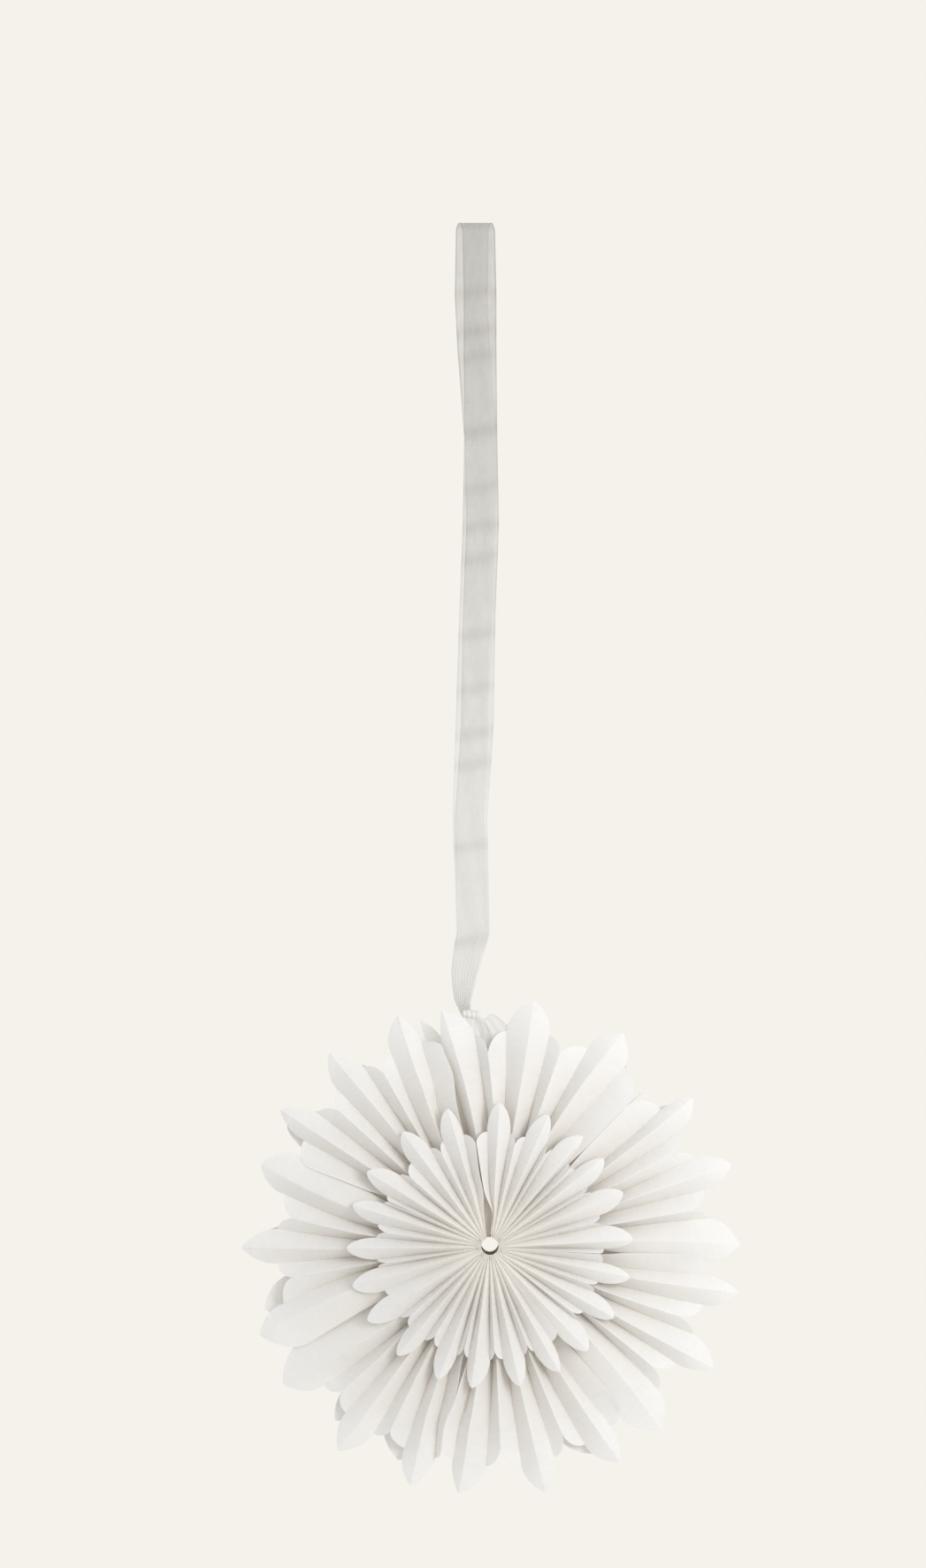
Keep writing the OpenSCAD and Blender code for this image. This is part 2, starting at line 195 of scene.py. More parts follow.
def make_paper():
    """White paper with a fine crepe grain across each panel, and painted warm bounce light: deep
    inside, towards the middle and in the valleys, it is tinted warmer and a little brighter.
    Its UV map is in metres: U around the star and V away from its middle."""
    material, tree, shader = new_material("paper", {"Roughness": 0.85, "Specular IOR Level": 0.2})
    link = tree.links.new
    place = add_node(tree, "UVMap", uv_map="sheet")
    stretch = add_node(tree, "Mapping", {"Scale": GRAIN_SCALE})
    link(place.outputs["UV"], stretch.inputs["Vector"])
    values = {"Scale": 1.0, "Detail": 3.0, "Roughness": 0.6, "Distortion": 0.4}
    grain = add_node(tree, "TexNoise", values)
    link(stretch.outputs["Vector"], grain.inputs["Vector"])
    body = add_node(tree, "TexCoord")
    cloud = add_node(tree, "TexNoise", {"Scale": 45.0, "Detail": 3.0})
    link(body.outputs["Object"], cloud.inputs["Vector"])
    lines = add_ramp(tree, (0.955, 0.955, 0.955, 1.0), (1.0, 1.0, 1.0, 1.0), 0.35, 0.65)
    link(grain.outputs["Fac"], lines.inputs["Fac"])
    # Painted warm bounce light: deep in the folds near the middle the paper is tinted warmer and
    # a little brighter
    inner = add_node(tree, "Attribute", attribute_name="inner")
    white = add_ramp(tree, OUTER_WHITE, PAINTED_BOUNCE_WHITE)
    link(inner.outputs["Fac"], white.inputs["Fac"])
    grained = multiply_colors(tree, 0.5, white.outputs["Color"], lines.outputs["Color"])
    mottled = multiply_colors(tree, 0.03, grained, cloud.outputs["Fac"])
    bump = add_node(tree, "Bump", {"Strength": 0.35, "Distance": 0.00012})
    link(grain.outputs["Fac"], bump.inputs["Height"])
    glow = add_node(tree, "BsdfTranslucent")
    for surface, color in ((shader, "Base Color"), (glow, "Color")):
        link(mottled, surface.inputs[color])
        link(bump.outputs["Normal"], surface.inputs["Normal"])
    both = add_node(tree, "MixShader", {"Fac": LIGHT_THROUGH})
    link(shader.outputs["BSDF"], both.inputs[1])
    link(glow.outputs["BSDF"], both.inputs[2])
    link(both.outputs["Shader"], tree.nodes["Material Output"].inputs["Surface"])
    return material


paper = make_paper()

# Folds in the paper, and the two kinds of free end that a sheet can have: an edge beside
# a petal, and the lap of a shoulder that lies on its neighbour. The heights are parts of
# a ridge's height.
VALLEY, SHORT, TALL, EDGE, LAP = "valley", "short", "tall", "edge", "lap"
HEIGHT = {VALLEY: 0.0, SHORT: 1.0, TALL: 1.0, EDGE: 0.45}
LAP_HEIGHT, LAP_CHANGE, LAP_REACH = 0.62, 0.1, 0.042
PETALS = [TALL, VALLEY, SHORT, VALLEY, TALL, VALLEY, SHORT, VALLEY, TALL]
UNIT = [SHORT, VALLEY, *PETALS, VALLEY]
HOLE_R = 0.006
TURN_R = 0.098
VALLEY_DEPTH = 0.00045
PAPER_THICK = 0.00022
PANEL_WIDTH = 0.012

# Swell and finish of the cut curves: beside the tip of a large and of a small petal, and
# beside a shoulder
LARGE_LEAF, SMALL_LEAF, SHOULDER = (1.15, 0.55), (1.55, 0.62), (2.0, 0.64)

# Parts of a panel's width at which it has points, and its steps from the hole to the rim
ACROSS = [0, 0.035, 0.1, 0.2, 0.33, 0.47, 0.61, 0.74, 0.85, 0.93, 0.975]
ALONG = 26

# How much the first three folds of a free end follow its bow
BOW_SHARES = (1.0, 0.55, 0.2)

OPEN_LEAST = 0.15
OPEN_REACH = 0.05
OUTER_FROM = 0.55
SWAY = 0.0005
CRISP_ANGLE = math.radians(35)


def even_folds(units, gap, seam_gap):
    """Angles at the hole, where all the panels of a rosette are packed side by side."""
    panels = sum(len(unit[0]) - 1 for unit in units)
    step = (360 - gap - (len(units) - 1) * seam_gap) / panels
    middle = (units[0][1][0] + units[-1][1][-1] - 360) / 2
    at = middle + gap / 2
    angles = []
    for unit in units:
        angles.append([at + i * step for i in range(len(unit[0]))])
        at = angles[-1][-1] + seam_gap
    return angles


def fold_height(kind, r):
    """Height of a fold as part of a ridge's height. A lap sinks on its neighbour inwards."""
    if kind != LAP:
        return HEIGHT[kind]
    return LAP_HEIGHT + LAP_CHANGE * min(1.0, max(-1.0, (r - TURN_R) / LAP_REACH))


def cut_edge(kinds, rims, k, u, small):
    """Radius of the cut edge at part u of panel k: a leaf curve beside a tip, which is more
    pointed on the large petals, and a rounder curve beside a shoulder."""
    swell, finish = SHOULDER
    if TALL in (kinds[k], kinds[k + 1]):
        swell, finish = SMALL_LEAF if small else LARGE_LEAF
    start, end = rims[k], rims[k + 1]
    if kinds[k + 1] == TALL or kinds[k] in (SHORT, LAP):
        start, end, u = end, start, 1 - u
    return end + (start - end) * (1 - u**swell) ** finish


def fold_angle(r, rim_r, stops):
    """Angle of a fold at radius r. The fold bends gently through its (radius, angle) stops."""
    points = [(s * math.sin(math.radians(a)), s * math.cos(math.radians(a))) for s, a in stops]
    q = (r - HOLE_R) / (rim_r - HOLE_R)
    knots = [(s - HOLE_R) / (rim_r - HOLE_R) for s, a in stops]
    x = z = 0.0
    for i, (px, pz) in enumerate(points):
        part = 1.0
        for j, other in enumerate(knots):
            if j != i:
                part *= (q - other) / (knots[i] - other)
        x += px * part
        z += pz * part
    rim = math.radians(stops[-1][1])
    return rim + math.remainder(math.atan2(x, z) - rim, 2 * math.pi)


def panel_height(u, start, end):
    """Height across a panel between its two folds, a little steeper beside the lower one."""
    if start < end:
        return panel_height(1 - u, end, start)
    return start + (end - start) * (0.72 * u + 0.28 * u * u)


def bow_angle(r, k, kinds, ends):
    """Angle by which the folds near the free ends bow aside at radius r, from places of
    (radius, reach, degrees) for each end."""
    angle = 0.0
    for places, off in zip(ends, (k, len(kinds) - 1 - k)):
        if off < len(BOW_SHARES):
            for at, reach, degrees in places:
                angle += degrees * BOW_SHARES[off] * math.exp(-(((r - at) / reach) ** 2))
    return math.radians(angle)


def open_share(r):
    """How far the folds of a small sheet are open: pressed flatter towards the hole."""
    part = min(1.0, (r - HOLE_R) / OPEN_REACH)
    return OPEN_LEAST + (1 - OPEN_LEAST) * part * part * (3 - 2 * part)


def grid_step(place, steps):
    """Which line of a new grid, one unit wide, a coordinate lies on."""
    return round((place + 0.5) * steps)


def write_uv(bm, uv, flat, smooth=True):
    """Lay the UV map from each vertex's place in the flat sheet."""
    for face in bm.faces:
        face.smooth = smooth
        for loop in face.loops:
            loop[uv].uv = flat[loop.vert]


def paper_piece(name, bm, thickness):
    """A piece of paper from its finished bmesh."""
    piece = make_object(name, bm, paper)
    thick = piece.modifiers.new("thickness", "SOLIDIFY")
    thick.thickness = thickness
    thick.offset = 0.0
    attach(piece, "root")
    return piece


def pleated_sheet(name, kinds, rims, stops, tier, side, seed=0, ends=((), ())):
    """One pleated sheet. stops[k] are the points that fold k runs through. tier is the
    valleys' depth and the ridges' height by radius, the curl of the tips, and whether the
    sheet is a small one. side is -1 for the front and 1 for the back, and ends holds the
    bows of the two free ends."""
    base, rise, curl, small = tier
    sway = np.random.default_rng(seed).uniform(-1, 1, len(kinds))
    marks = [(k, u) for k in range(len(kinds) - 1) for u in ACROSS] + [(len(kinds) - 2, 1.0)]
    bm = bmesh.new()
    bmesh.ops.create_grid(bm, x_segments=len(marks) - 1, y_segments=ALONG, size=0.5)
    uv = bm.loops.layers.uv.new("sheet")
    inner = bm.verts.layers.float.new("inner")
    flat = {}
    for vert in bm.verts:
        k, u = marks[grid_step(vert.co.x, len(marks) - 1)]
        t = grid_step(vert.co.y, ALONG) / ALONG
        r = HOLE_R + (cut_edge(kinds, rims, k, u, small) - HOLE_R) * t
        a0, a1 = (
            fold_angle(min(r, rims[n]), rims[n], stops[n]) + bow_angle(r, n, kinds, ends)
            for n in (k, k + 1)
        )
        a = a0 + (a1 - a0) * u
        share = panel_height(u, fold_height(kinds[k], r), fold_height(kinds[k + 1], r))
        if small:
            share = 1 - (1 - share) * open_share(r)
        outer = max(0.0, (r - rims[k] * OUTER_FROM) / (rims[k] * (1 - OUTER_FROM)))
        ridge = k if kinds[k] not in (VALLEY, EDGE) else k + 1
        bow = SWAY * sway[ridge] * outer + curl * max(0.0, outer - 1) ** 2
        depth = base(r) + (rise(r) + bow) * share
        vert.co = STAR_MIDDLE + Vector((r * math.sin(a), side * depth, r * math.cos(a)))
        # Painted warm bounce light, strongest near the middle and weaker on the ridges
        vert[inner] = max(0.0, 1 - r / max(rims[k], rims[k + 1])) * (1 - 0.3 * share)
        flat[vert] = ((k + u) * PANEL_WIDTH, r)
    write_uv(bm, uv, flat)
    piece = paper_piece(name, bm, PAPER_THICK)
    crisp = piece.modifiers.new("crisp", "EDGE_SPLIT")
    crisp.split_angle = CRISP_ANGLE
    return piece


# Radius and reach of the bows that most free ends have
LOW = (0.077, 0.012)

# Each sheet has its folds, their angles at the rim, the angles where they bend at the
# turn, how many millimetres their rims are longer than usual, and the bows of its ends.
large_front = [
    ([EDGE, *PETALS, VALLEY, SHORT],
     [-13.4, -11.7, -4.3, -0.6, 4.3, 10.3, 15.8, 20, 26.5, 32.2, 37.2, 44.5],
     [-11.2, -8.1, -1.6, 1.4, 6.2, 11.2, 17.3, 20.3, 25.6, 28.4, 34.6, 44.6],
     [-9, -9, -6.5, -5.5, -4, -2.5, -1.5, 2.5, -0.5, -1.5, 1.5, -0.5],
     ((), ((*LOW, -0.7),))),
    ([SHORT, VALLEY, *PETALS, EDGE],
     [44.6, 51.7, 53.9, 59.2, 63.3, 67.1, 71.6, 75.8, 80.2, 83.2, 90, 94.2],
     [44.7, 53.6, 56, 60.4, 64.2, 68, 71.7, 75.2, 80.2, 82.4, 87.9, 93.6],
     [-1, -1.5, -0.5, 0, 1, 1.5, 2, 0.5, 2, 0, -1.5, -1],
     (((*LOW, 0.7),), ((*LOW, -1.0),))),
    ([LAP, VALLEY, *PETALS, EDGE],
     [92.4, 97.9, 100.8, 105.8, 110.6, 113.8, 118.9, 122.5, 126.7, 130.8, 137.2, 142.9],
     [93.2, 99.6, 103, 107.6, 111.5, 114.5, 119.3, 121.9, 125.5, 127.9, 133.5, 141.8],
     [0, -1.5, 1, 1.5, 0, 1.5, 2.5, 0.5, 2, 1, -0.5, -2],
     (((*LOW, 1.2),), ((*LOW, -0.6),))),
    ([LAP, VALLEY, *PETALS, VALLEY, SHORT],
     [140.5, 146.2, 149, 154.6, 159, 163.2, 167.3, 171.9, 177, 181.2, 187.2, 189.8, 192.9],
     [141.5, 148.6, 151.3, 156.4, 159.7, 163.2, 167.9, 171.7, 176.8, 179.2, 185.5, 187.6, 192.5],
     [0, -0.5, 0.5, 1, 2, 1.5, 1, 1.5, 1, 1, -1, -1.5, 4],
     (((*LOW, 0.4),), ((0.082, 0.013, -1.2), (0.13, 0.014, 1.4)))),
    (UNIT,
     [193.1, 194.3, 198.3, 202.8, 208.2, 211.7, 216.4, 220.7, 225.4, 229.8, 236.2, 243],
     [192.7, 197.3, 201.3, 204.3, 209.4, 211.9, 216.6, 220.1, 224.3, 227, 232.6, 243.2],
     [9.5, 0, 1, 0.5, 8, 1.5, 2.5, 1, 5, -1.5, -2, -5.5],
     (((0.082, 0.013, 1.2), (0.13, 0.014, 1.3)), ())),
    ([EDGE, *PETALS, EDGE],
     [241.5, 248.6, 254.1, 260.8, 265, 269.4, 274.2, 277.9, 283.8, 289.5, 295.2],
     [242.9, 252.6, 257.8, 261.3, 264.8, 268.6, 272.4, 275.5, 279.6, 284.8, 294],
     [-8.5, -3.5, -4, 0.5, -4.5, -2.5, -5, -1, -6, -6.5, -3.5],
     ((), ((*LOW, -1.0),))),
    ([LAP, VALLEY, *PETALS, VALLEY, SHORT],
     [293, 299.2, 302.7, 307.3, 311.7, 315.4, 320.1, 324.6, 328.3, 332.7, 338.1, 341.3, 346.4],
     [293.9, 299.5, 302.8, 307.5, 311.5, 315.4, 320.3, 324, 327.4, 330.2, 335.8, 338.8, 346.6],
     [-1, -4.5, -2, -2, 0.5, -2.5, -1, -2, 0.5, -3, -3.5, -5, 4],
     (((*LOW, 1.0),), ((0.122, 0.014, 1.3),))),
]
LARGE_R = {TALL: 0.177, VALLEY: 0.1545, SHORT: 0.14, EDGE: 0.1545, LAP: 0.14}
LARGE_PANEL = 0.0145
LARGE_PANEL_TURN = 0.0806
LARGE_LEAST = 0.003


def large_base(r):
    return VALLEY_DEPTH


def large_rise(r):
    """Height of a ridge whose panels lie side by side all round."""
    return math.sqrt(max(LARGE_PANEL**2 - (LARGE_PANEL_TURN * r) ** 2, LARGE_LEAST**2))


LARGE_TIER = (large_base, large_rise, -0.002, False)
roots = even_folds(large_front, 8, 1.2)
for i, (kinds, rim, turn, trim, ends) in enumerate(large_front):
    rims = [LARGE_R[kind] + extra / 1000 for kind, extra in zip(kinds, trim)]
    stops = [
        [(HOLE_R, root), (TURN_R, bend), (rim_r, angle)]
        for root, bend, rim_r, angle in zip(roots[i], turn, rims, rim)
    ]
    name = f"large_petals_front_{i + 1}"
    piece = pleated_sheet(name, kinds, rims, stops, LARGE_TIER, -1, i, ends)
    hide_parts(f"large_front_{i + 1}")


# Sliver: a torn strip of the same paper that stands on edge in the seam at 45 degrees,
# caught between the first and the second sheet of the front.
SLIVER_R, SLIVER_LONG = 0.137, 0.0145
SLIVER_DEPTH, SLIVER_WIDE, SLIVER_TIP = 0.0042, 0.004, 0.001


def make_sliver():
    bm = bmesh.new()
    bmesh.ops.create_grid(bm, x_segments=6, y_segments=2, size=0.5)
    uv = bm.loops.layers.uv.new("sheet")
    flat = {}
    for vert in bm.verts:
        along, deep = vert.co.x + 0.5, vert.co.y + 0.5
        r = SLIVER_R + SLIVER_LONG * along
        a = math.radians(44.5 + 0.5 * along)
        depth = SLIVER_DEPTH + (SLIVER_WIDE - (SLIVER_WIDE - SLIVER_TIP) * along) * deep
        lean = 0.0003 * deep
        vert.co = STAR_MIDDLE + Vector((r * math.sin(a) + lean, -depth, r * math.cos(a)))
        flat[vert] = (depth, r)
    write_uv(bm, uv, flat, smooth=False)
    paper_piece("paper_sliver", bm, PAPER_THICK)


make_sliver()


# Small petals of the front: seven shorter sheets of the same paper, glued on the ridges
# of the large ones, with their folds packed at the same hole. Each has its folds, their
# angles and extra millimetres at the rim, and the bows of its ends.
small_front = [
    ([*UNIT, SHORT],
     [-7.5, -1.5, 3.7, 10.2, 13.8, 17.9, 24, 28.9, 31, 33, 40.4, 43, 45.3],
     [0, 0, 0, 0, 0, 0, 0, 0, 0, 0, 0, 0, 4.5],
     (((0.0205, 0.0105, 10.0),), ())),
    ([*UNIT, SHORT],
     [45.7, 48.4, 52.5, 59, 60.8, 62.5, 68.2, 74.6, 77.5, 80, 87.6, 91.6, 93.8],
     [4.5, 0, 0, 0, 0, 0, 0, 0, 0, 0, 0, 0, 4.5],
     ((), ())),
    ([SHORT, VALLEY, *PETALS, EDGE],
     [94.2, 98.6, 102.7, 108.5, 111, 114, 120.2, 125.2, 128.7, 130.4, 137, 142.4],
     [4.5, 0, 0, 0, 0, 0, 0, 0, 0, 0, 0, -1],
     ((), ())),
    ([LAP, VALLEY, *PETALS, VALLEY, SHORT],
     [141.9, 147.2, 151.2, 157.4, 159.4, 162.7, 168, 173.5, 177.5, 179.9, 187.4, 191, 194.1],
     [2.5, 0, 0, 0, 0, 0, 0, 0, 0, 0, 0, 0, 0],
     ((), ())),
    ([SHORT, VALLEY, *PETALS, EDGE],
     [194.5, 196.8, 201.2, 207.1, 211.5, 214.8, 220.3, 224.9, 229, 232, 238.6, 244],
     [0, 0, 0, 0, 0, 0, 0, 0, 0, 0, 0, -1],
     ((), ())),
    ([LAP, VALLEY, *PETALS, VALLEY, SHORT],
     [243.5, 246.9, 253.6, 258.8, 260.9, 263.1, 269.2, 274, 277.4, 280.8, 286.6, 291.6, 293.5],
     [5, 0, 0, 0, 0, 0, 0, 0, 0, 0, 0, 0, 4.5],
     ((), ())),
    ([*UNIT, SHORT],
     [293.9, 295.9, 301, 308, 310.8, 316.2, 322.5, 328.3, 332.5, 335.8, 342.8, 346.4, 352],
     [4.5, 0, 0, 0, 0, 0, 0, 0, 0, 0, 0, 0, -1],
     ((), ((0.037, 0.01, 2.0),))),
]
SMALL_R = {TALL: 0.1005, VALLEY: 0.08, SHORT: 0.073, EDGE: 0.08, LAP: 0.073}
SMALL_PANEL = 0.0085
SMALL_PANEL_TURN = 0.0766
SMALL_GAP = 0.0003


def small_base(r):
    return VALLEY_DEPTH + large_rise(r) + SMALL_GAP


def small_rise(r):
    return math.sqrt(SMALL_PANEL**2 - (SMALL_PANEL_TURN * r) ** 2)


def straight_stops(root, rims, rim):
    """The two points of each fold that runs straight from the hole to the rim."""
    return [[(HOLE_R, a), (rim_r, b)] for a, rim_r, b in zip(root, rims, rim)]


SMALL_TIER = (small_base, small_rise, 0.0, True)
roots = even_folds(small_front, 30, 1.2)
for i, (kinds, rim, trim, ends) in enumerate(small_front):
    rims = [SMALL_R[kind] + extra / 1000 for kind, extra in zip(kinds, trim)]
    stops = straight_stops(roots[i], rims, rim)
    name = f"small_petals_front_{i + 1}"
    piece = pleated_sheet(name, kinds, rims, stops, SMALL_TIER, -1, 20 + i, ends)
    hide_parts(f"small_front_{i + 1}")


# Joining tongue: a thin strip of the same paper, glued on the ridges of the large sheets,
# that joins the first and the last unit under the slot at the top.
TONGUE_R, TONGUE_LONG = 0.0065, 0.034
TONGUE_THICK = 0.0001
TONGUE_GAP = 0.00015


def make_tongue():
    bm = bmesh.new()
    bmesh.ops.create_grid(bm, x_segments=10, y_segments=12, size=0.5)
    uv = bm.loops.layers.uv.new("sheet")
    inner = bm.verts.layers.float.new("inner")
    flat = {}
    for vert in bm.verts:
        across, out = vert.co.x + 0.5, vert.co.y + 0.5
        r = TONGUE_R + TONGUE_LONG * out
        a = math.radians(-27 + 16 * out + (36 - 22 * out) * across)
        depth = VALLEY_DEPTH + large_rise(r) + TONGUE_GAP
        vert.co = STAR_MIDDLE + Vector((r * math.sin(a), -depth, r * math.cos(a)))
        # Painted warm bounce light all over, as on the paper deep in the folds
        vert[inner] = 1.0
        flat[vert] = (across * 0.01, r)
    write_uv(bm, uv, flat)
    paper_piece("joining_tongue", bm, TONGUE_THICK)


make_tongue()


# Painted hole shades: seven small brownish dots round the hole, painted shade of small holes
# pierced in the paper there.
DOT_ANGLES = (16, 56, 112, 177, 218, 259, 298)
DOT_R, DOT_DEPTH, DOT_SIZE = 0.0083, 0.0235, 0.00095


def make_painted_hole_shades():
    bm = bmesh.new()
    for angle in DOT_ANGLES:
        a = math.radians(angle)
        dot = bmesh.ops.create_icosphere(bm, subdivisions=2, radius=DOT_SIZE)
        at = STAR_MIDDLE + Vector((DOT_R * math.sin(a), -DOT_DEPTH, DOT_R * math.cos(a)))
        for vert in dot["verts"]:
            vert.co = at + Vector((vert.co.x, vert.co.y * 0.7, vert.co.z))
    for face in bm.faces:
        face.smooth = True
    # Painted shade: a brownish dark in place of the shade inside each pierced hole
    values = {"Base Color": (0.62, 0.56, 0.47, 1.0), "Roughness": 0.5}
    piece = make_object("painted_hole_shades", bm, new_material("painted_hole_shade", values)[0])
    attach(piece, "root")


make_painted_hole_shades()


# Back rosette: the same two tiers of pleated paper sheets, facing the other way, with
# their petals between those of the front. Its last unit leaves the top free for the
# ribbon. Each unit has its folds, the angles of its three tips and that of its end.
UNIT_TWO = [SHORT, VALLEY, *PETALS[:7], VALLEY, SHORT]
back_units = [
    (UNIT, [10, 34.8, 54.5], 60.5),
    (UNIT, [71.5, 89, 101], 106.5),
    (UNIT, [119, 134.6, 153.2], 160.4),
    (UNIT, [169, 183.4, 203], 210.9),
    (UNIT, [221.3, 237.5, 254], 261.4),
    (UNIT, [271, 288, 300], 309.9),
    (UNIT_TWO, [321, 342.5, 361.5], 363.9),
]
BACK_SHORT = 0.012
BACK_GAP = 0.6
back_sheets = []
start = back_units[-1][2] - 360 + BACK_GAP
for kinds, tips, end in back_units:
    rim = [start, (start + tips[0]) / 2]
    for a, b in zip(tips, tips[1:]):
        rim += [a + (b - a) * quarter / 4 for quarter in range(4)]
    rim += [tips[2], end]
    back_sheets.append((kinds, rim[:len(kinds)]))
    start = end + BACK_GAP
roots = even_folds(back_sheets, 1.2, 1.2)
for i, (kinds, rim) in enumerate(back_sheets):
    rims = [LARGE_R[kind] - BACK_SHORT for kind in kinds]
    stops = straight_stops(roots[i], rims, rim)
    piece = pleated_sheet(f"large_petals_back_{i + 1}", kinds, rims, stops, LARGE_TIER, 1, 40 + i)
    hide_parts(f"large_back_{i + 1}")
    rims = [SMALL_R[kind] for kind in kinds]
    stops = straight_stops(roots[i], rims, rim)
    piece = pleated_sheet(f"small_petals_back_{i + 1}", kinds, rims, stops, SMALL_TIER, 1, 60 + i)
    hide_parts(f"small_back_{i + 1}")


# Knot: the organza ribbon pulled tight round both strands of the loop, a short ribbed
# barrel that lies across them and leans to the left.
KNOT_X = -0.0024
KNOT_DROP = 0.556
KNOT_LONG, KNOT_R, KNOT_RIBS = 0.0135, 0.0033, 4
KNOT_LEAN = math.radians(-8)
KNOT_AROUND, KNOT_RINGS = 32, 48


def make_knot_material():
    values = {"Roughness": 0.5, "Sheen Weight": 0.2}
    material, tree, shader = new_material("knotted_organza", values)
    link = tree.links.new
    body = add_node(tree, "TexCoord")
    tone = add_node(tree, "TexNoise", {"Scale": 900.0, "Detail": 3.0})
    link(body.outputs["Object"], tone.inputs["Vector"])
    ramp = add_ramp(tree, (0.72, 0.70, 0.66, 1.0), (0.86, 0.85, 0.82, 1.0))
    link(tone.outputs["Fac"], ramp.inputs["Fac"])
    link(ramp.outputs["Color"], shader.inputs["Base Color"])
    return material


def make_knot():
    bm = bmesh.new()
    bmesh.ops.create_grid(bm, x_segments=KNOT_AROUND, y_segments=KNOT_RINGS, size=0.5)
    uv = bm.loops.layers.uv.new("cloth")
    sin_lean, cos_lean = math.sin(KNOT_LEAN), math.cos(KNOT_LEAN)
    for vert in bm.verts:
        a = grid_step(vert.co.x, KNOT_AROUND) / KNOT_AROUND * 2 * math.pi
        t = grid_step(vert.co.y, KNOT_RINGS) / KNOT_RINGS
        rib = abs(math.sin(math.pi * (t * KNOT_RIBS + 0.12 * math.sin(a))))
        r = KNOT_R * (0.74 + 0.26 * rib**0.6) * (1 - (2 * t - 1) ** 6 * 0.55)
        x = (t - 0.5) * KNOT_LONG
        y, z = r * math.cos(a), r * math.sin(a)
        vert.co = (x * cos_lean - z * sin_lean, y, x * sin_lean + z * cos_lean)
        vert.co += Vector((KNOT_X, 0, -KNOT_DROP))
    write_uv(bm, uv, {vert: (vert.co.x * 0.5, vert.co.z) for vert in bm.verts})
    bmesh.ops.remove_doubles(bm, verts=bm.verts, dist=0.00001)
    piece = make_object("ribbon_knot_turns", bm, make_knot_material())
    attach(piece, "root")
    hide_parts("ribbon_knot")


make_knot()


# Loop: one long ribbon of sheer organza that goes up from the knot, over the hook and down
# again. It is pressed into cross waves, painted with shade across its creases and towards its
# top, and gathered into small pleats where the knot holds it.
RIBBON_W = 0.023
HOOK_R = 0.005


def make_organza():
    """See-through between its threads, with firmer woven edges, a little more opaque and painted
    darker with shade where its density and shade attribute is higher. The UV map is in metres: U
    across the ribbon and V along it."""
    values = {"Roughness": 0.45, "Specular IOR Level": 0.4, "Sheen Weight": 0.2}
    material, tree, shader = new_material("organza", values)
    link = tree.links.new
    place = add_node(tree, "UVMap", uv_map="cloth")
    weave = add_node(tree, "Mapping", {"Scale": (260.0, 90.0, 1.0)})
    link(place.outputs["UV"], weave.inputs["Vector"])
    threads = add_node(tree, "TexNoise", {"Scale": 1.0, "Detail": 4.0})
    link(weave.outputs["Vector"], threads.inputs["Vector"])
    across = add_node(tree, "SeparateXYZ")
    link(place.outputs["UV"], across.inputs["Vector"])
    off = add_node(tree, "Math", operation="ABSOLUTE")
    link(across.outputs["X"], off.inputs[0])
    edge = add_node(tree, "MapRange", {
        "From Min": 0.0102, "From Max": 0.0109, "To Min": 0.0, "To Max": 0.35})
    link(off.outputs[0], edge.inputs["Value"])
    cover = add_node(tree, "MapRange", {
        "From Min": 0.3, "From Max": 0.7, "To Min": 0.48, "To Max": 0.64})
    link(threads.outputs["Fac"], cover.inputs["Value"])
    density_and_shade = add_node(tree, "Attribute", attribute_name="density_and_shade")
    thick = add_node(tree, "Math", {1: 0.12}, operation="MULTIPLY_ADD")
    link(density_and_shade.outputs["Fac"], thick.inputs[0])
    link(cover.outputs["Result"], thick.inputs[2])
    total = add_node(tree, "Math", operation="ADD", use_clamp=True)
    link(thick.outputs[0], total.inputs[0])
    link(edge.outputs["Result"], total.inputs[1])
    link(total.outputs[0], shader.inputs["Alpha"])
    # Painted shade: the cloth is painted darker where its density and shade attribute is higher
    tone = add_ramp(tree, (0.76, 0.75, 0.71, 1.0), (0.36, 0.345, 0.295, 1.0))
    link(density_and_shade.outputs["Fac"], tone.inputs["Fac"])
    link(tone.outputs["Color"], shader.inputs["Base Color"])
    return material


organza = make_organza()


def ribbon_strip(name, rings, across, place):
    """A strip of ribbon through rings along its way. place(ring, part) gives the point at
    a part of the width, from -0.5 to 0.5, its flat place across and along, and its density and
    painted shade there."""
    bm = bmesh.new()
    bmesh.ops.create_grid(bm, x_segments=across, y_segments=len(rings) - 1, size=0.5)
    uv = bm.loops.layers.uv.new("cloth")
    density_and_shade = bm.verts.layers.float.new("density_and_shade")
    flat = {}
    for vert in bm.verts:
        ring = rings[grid_step(vert.co.y, len(rings) - 1)]
        part = grid_step(vert.co.x, across) / across - 0.5
        vert.co, flat[vert], vert[density_and_shade] = place(ring, part)
    write_uv(bm, uv, flat)
    piece = make_object(name, bm, organza)
    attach(piece, "root")
    return piece


# Creases across the loop where it was folded in its packet, as drops from the hook; the ribbon
# gets painted shade along them
CREASES = np.array([49, 76, 94, 146, 186, 213, 236, 289, 327, 359, 381, 438, 504]) / 1000
CREASE_WIDTH = 0.0045
# Drop from the hook down to which the upper part of the ribbon gets painted shade
TOP_DROP = 0.42

# Places of the two strands: drop, then x of the front and of the back one, in millimetres
strand_places = [
    (0, -1.3, 3.1), (52, -2.2, 4.1), (89, -0.3, 4.1), (151, 4.4, 4.7), (211, 3.4, 5.9),
    (277, 0.9, 3.4), (352, -1.6, 2.2), (419, -3.8, -2.2), (474, -1.9, -1.3), (499, -1.2, -0.8),
    (527, -7, -6.8), (546, -8.4, -8.2), (556, -6.2, -6),
]
DROPS = np.array([p[0] for p in strand_places]) / 1000
GATHER = 0.062
STRAND_STEPS, BEND_STEPS, LOOP_ACROSS = 190, 14, 32
# Painted shade, and a little more opacity, where the ribbon bends over the hook
BEND_DENSITY_AND_SHADE = 0.6


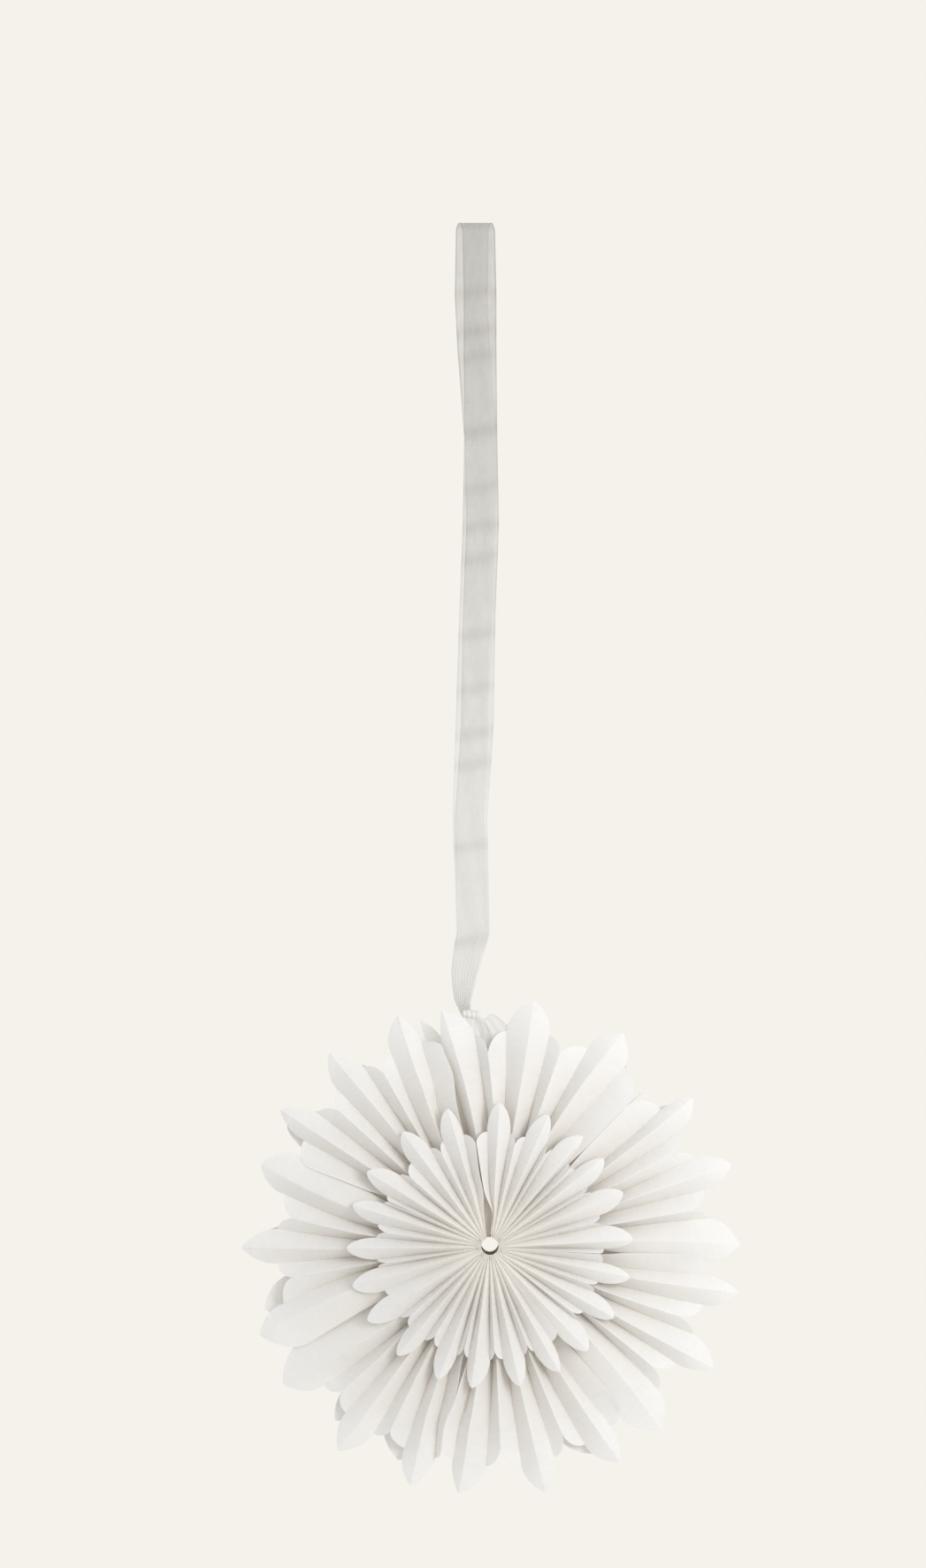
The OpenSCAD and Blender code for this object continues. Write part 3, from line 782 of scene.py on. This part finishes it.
def ribbon_density_and_shade(drop, part):
    """Density and painted shade of the ribbon: painted shade in its creases and in its upper
    part, which is farther from the lamp; it is a little more opaque there too.
    """
    off = (drop - CREASES + 0.004 * part) / CREASE_WIDTH
    crease = float(np.exp(-(off**2)).sum())
    return 0.2 * crease + 0.5 * max(0.0, 1 - drop / TOP_DROP)


def strand_ring(side, drop):
    """Where a strand runs at a drop from the hook: side is -1 in front and 1 behind."""
    places = np.array([p[1 if side < 0 else 2] for p in strand_places]) / 1000
    part = (drop - HOOK_R) / (KNOT_DROP - HOOK_R)
    spread = 0.0005 + (HOOK_R - 0.0004) * max(0.0, 1 - part) ** 2
    ends = min(1.0, (drop - HOOK_R) / 0.05, (KNOT_DROP - drop) / 0.05)
    wave = 0.0011 * math.sin(2 * math.pi * drop / 0.057)
    wave += 0.0006 * math.sin(2 * math.pi * drop / 0.023)
    return {
        "x": float(np.interp(drop, DROPS, places)),
        "y": side * spread + wave * ends,
        "z": -drop,
        "gathered": max(0.0, 1 - (KNOT_DROP - drop) / GATHER) ** 2,
        "along": side * drop,
        "out": side,
    }


def strand_point(ring, part):
    width = RIBBON_W * (1 - 0.72 * ring["gathered"])
    pleat = 0.0016 * ring["gathered"] * math.sin(part * 2 * math.pi * 4)
    belly = 0.0005 * math.cos(part * math.pi * 3 + ring["along"] * 60) * (1 - ring["gathered"])
    y = ring["y"] + ring["out"] * abs(pleat) + belly * 0.5
    point = Vector((ring["x"] + part * width, y, ring["z"]))
    return point, (part * RIBBON_W, ring["along"]), ribbon_density_and_shade(-ring["z"], part)


def bend_point(ring, part):
    turn, x = ring["turn"], ring["x"]
    y, z = -HOOK_R * math.cos(turn), HOOK_R * math.sin(turn) - HOOK_R
    point = Vector((x + part * RIBBON_W, y, z + 0.0001))
    return point, (part * RIBBON_W, ring["along"]), BEND_DENSITY_AND_SHADE


def make_loop():
    drops = [HOOK_R + (KNOT_DROP - HOOK_R) * s for s in np.linspace(0, 1, STRAND_STEPS)]
    rings = [strand_ring(-1, drop) for drop in reversed(drops)]
    front_x, back_x = strand_places[0][1:]
    for turn in np.linspace(0, math.pi, BEND_STEPS)[1:-1]:
        x = (front_x * (math.pi - turn) + back_x * turn) / math.pi / 1000
        rings.append({"turn": turn, "x": x, "along": HOOK_R * turn})
    rings += [strand_ring(1, drop) for drop in drops]

    def place(ring, part):
        return bend_point(ring, part) if "turn" in ring else strand_point(ring, part)

    piece = ribbon_strip("hanging_ribbon", rings, LOOP_ACROSS, place)
    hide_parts("ribbon_loop")


make_loop()


# Ribbon ends: the two free ends of the same organza, which fan out below the knot and lie
# crumpled between the front and the back rosette. Each is given by its two woven edges,
# in millimetres.
END_LONG = 0.045
END_STEPS, END_ACROSS = 44, 28
# A little painted shade on the ends, where they lie between the two rosettes
END_DENSITY_AND_SHADE = 0.12


def along_edge(edge, t):
    marks = np.linspace(0, 1, len(edge))
    return [np.interp(t, marks, values) for values in zip(*edge)]


def make_end(name, left, right, y, phase):
    def place(t, part):
        x0, z0 = along_edge(left, t)
        x1, z1 = along_edge(right, t)
        u = part + 0.5
        crease = 0.00022 * math.sin((u * 4 + phase + t * 1.5) * 2 * math.pi) * min(1.0, t * 4)
        point = Vector(((x0 + (x1 - x0) * u) / 1000, y + crease, (z0 + (z1 - z0) * u) / 1000))
        return point, (part * RIBBON_W, t * END_LONG), END_DENSITY_AND_SHADE

    piece = ribbon_strip(name, [i / END_STEPS for i in range(END_STEPS + 1)], END_ACROSS, place)
    return piece


left_end = make_end(
    "ribbon_end_left",
    [(-6, -557), (-6, -562), (-7, -568), (-8, -576), (-8, -585), (-7, -594), (-6, -602)],
    [(2, -559), (7, -562), (11, -567), (13.5, -575), (14.5, -584), (15, -592), (15, -600)],
    -0.0003, 0.2)
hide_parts("ribbon_tails")
make_end(
    "ribbon_end_right",
    [(0, -559), (2, -564), (4, -570), (6, -577), (7.5, -584), (9, -591), (10, -598)],
    [(3, -558.6), (8, -559.2), (10, -556.6), (12.2, -555.8), (16.2, -557.4), (23.6, -564.2),
     (29.5, -576), (31, -588)],
    0.0003, 0.75)
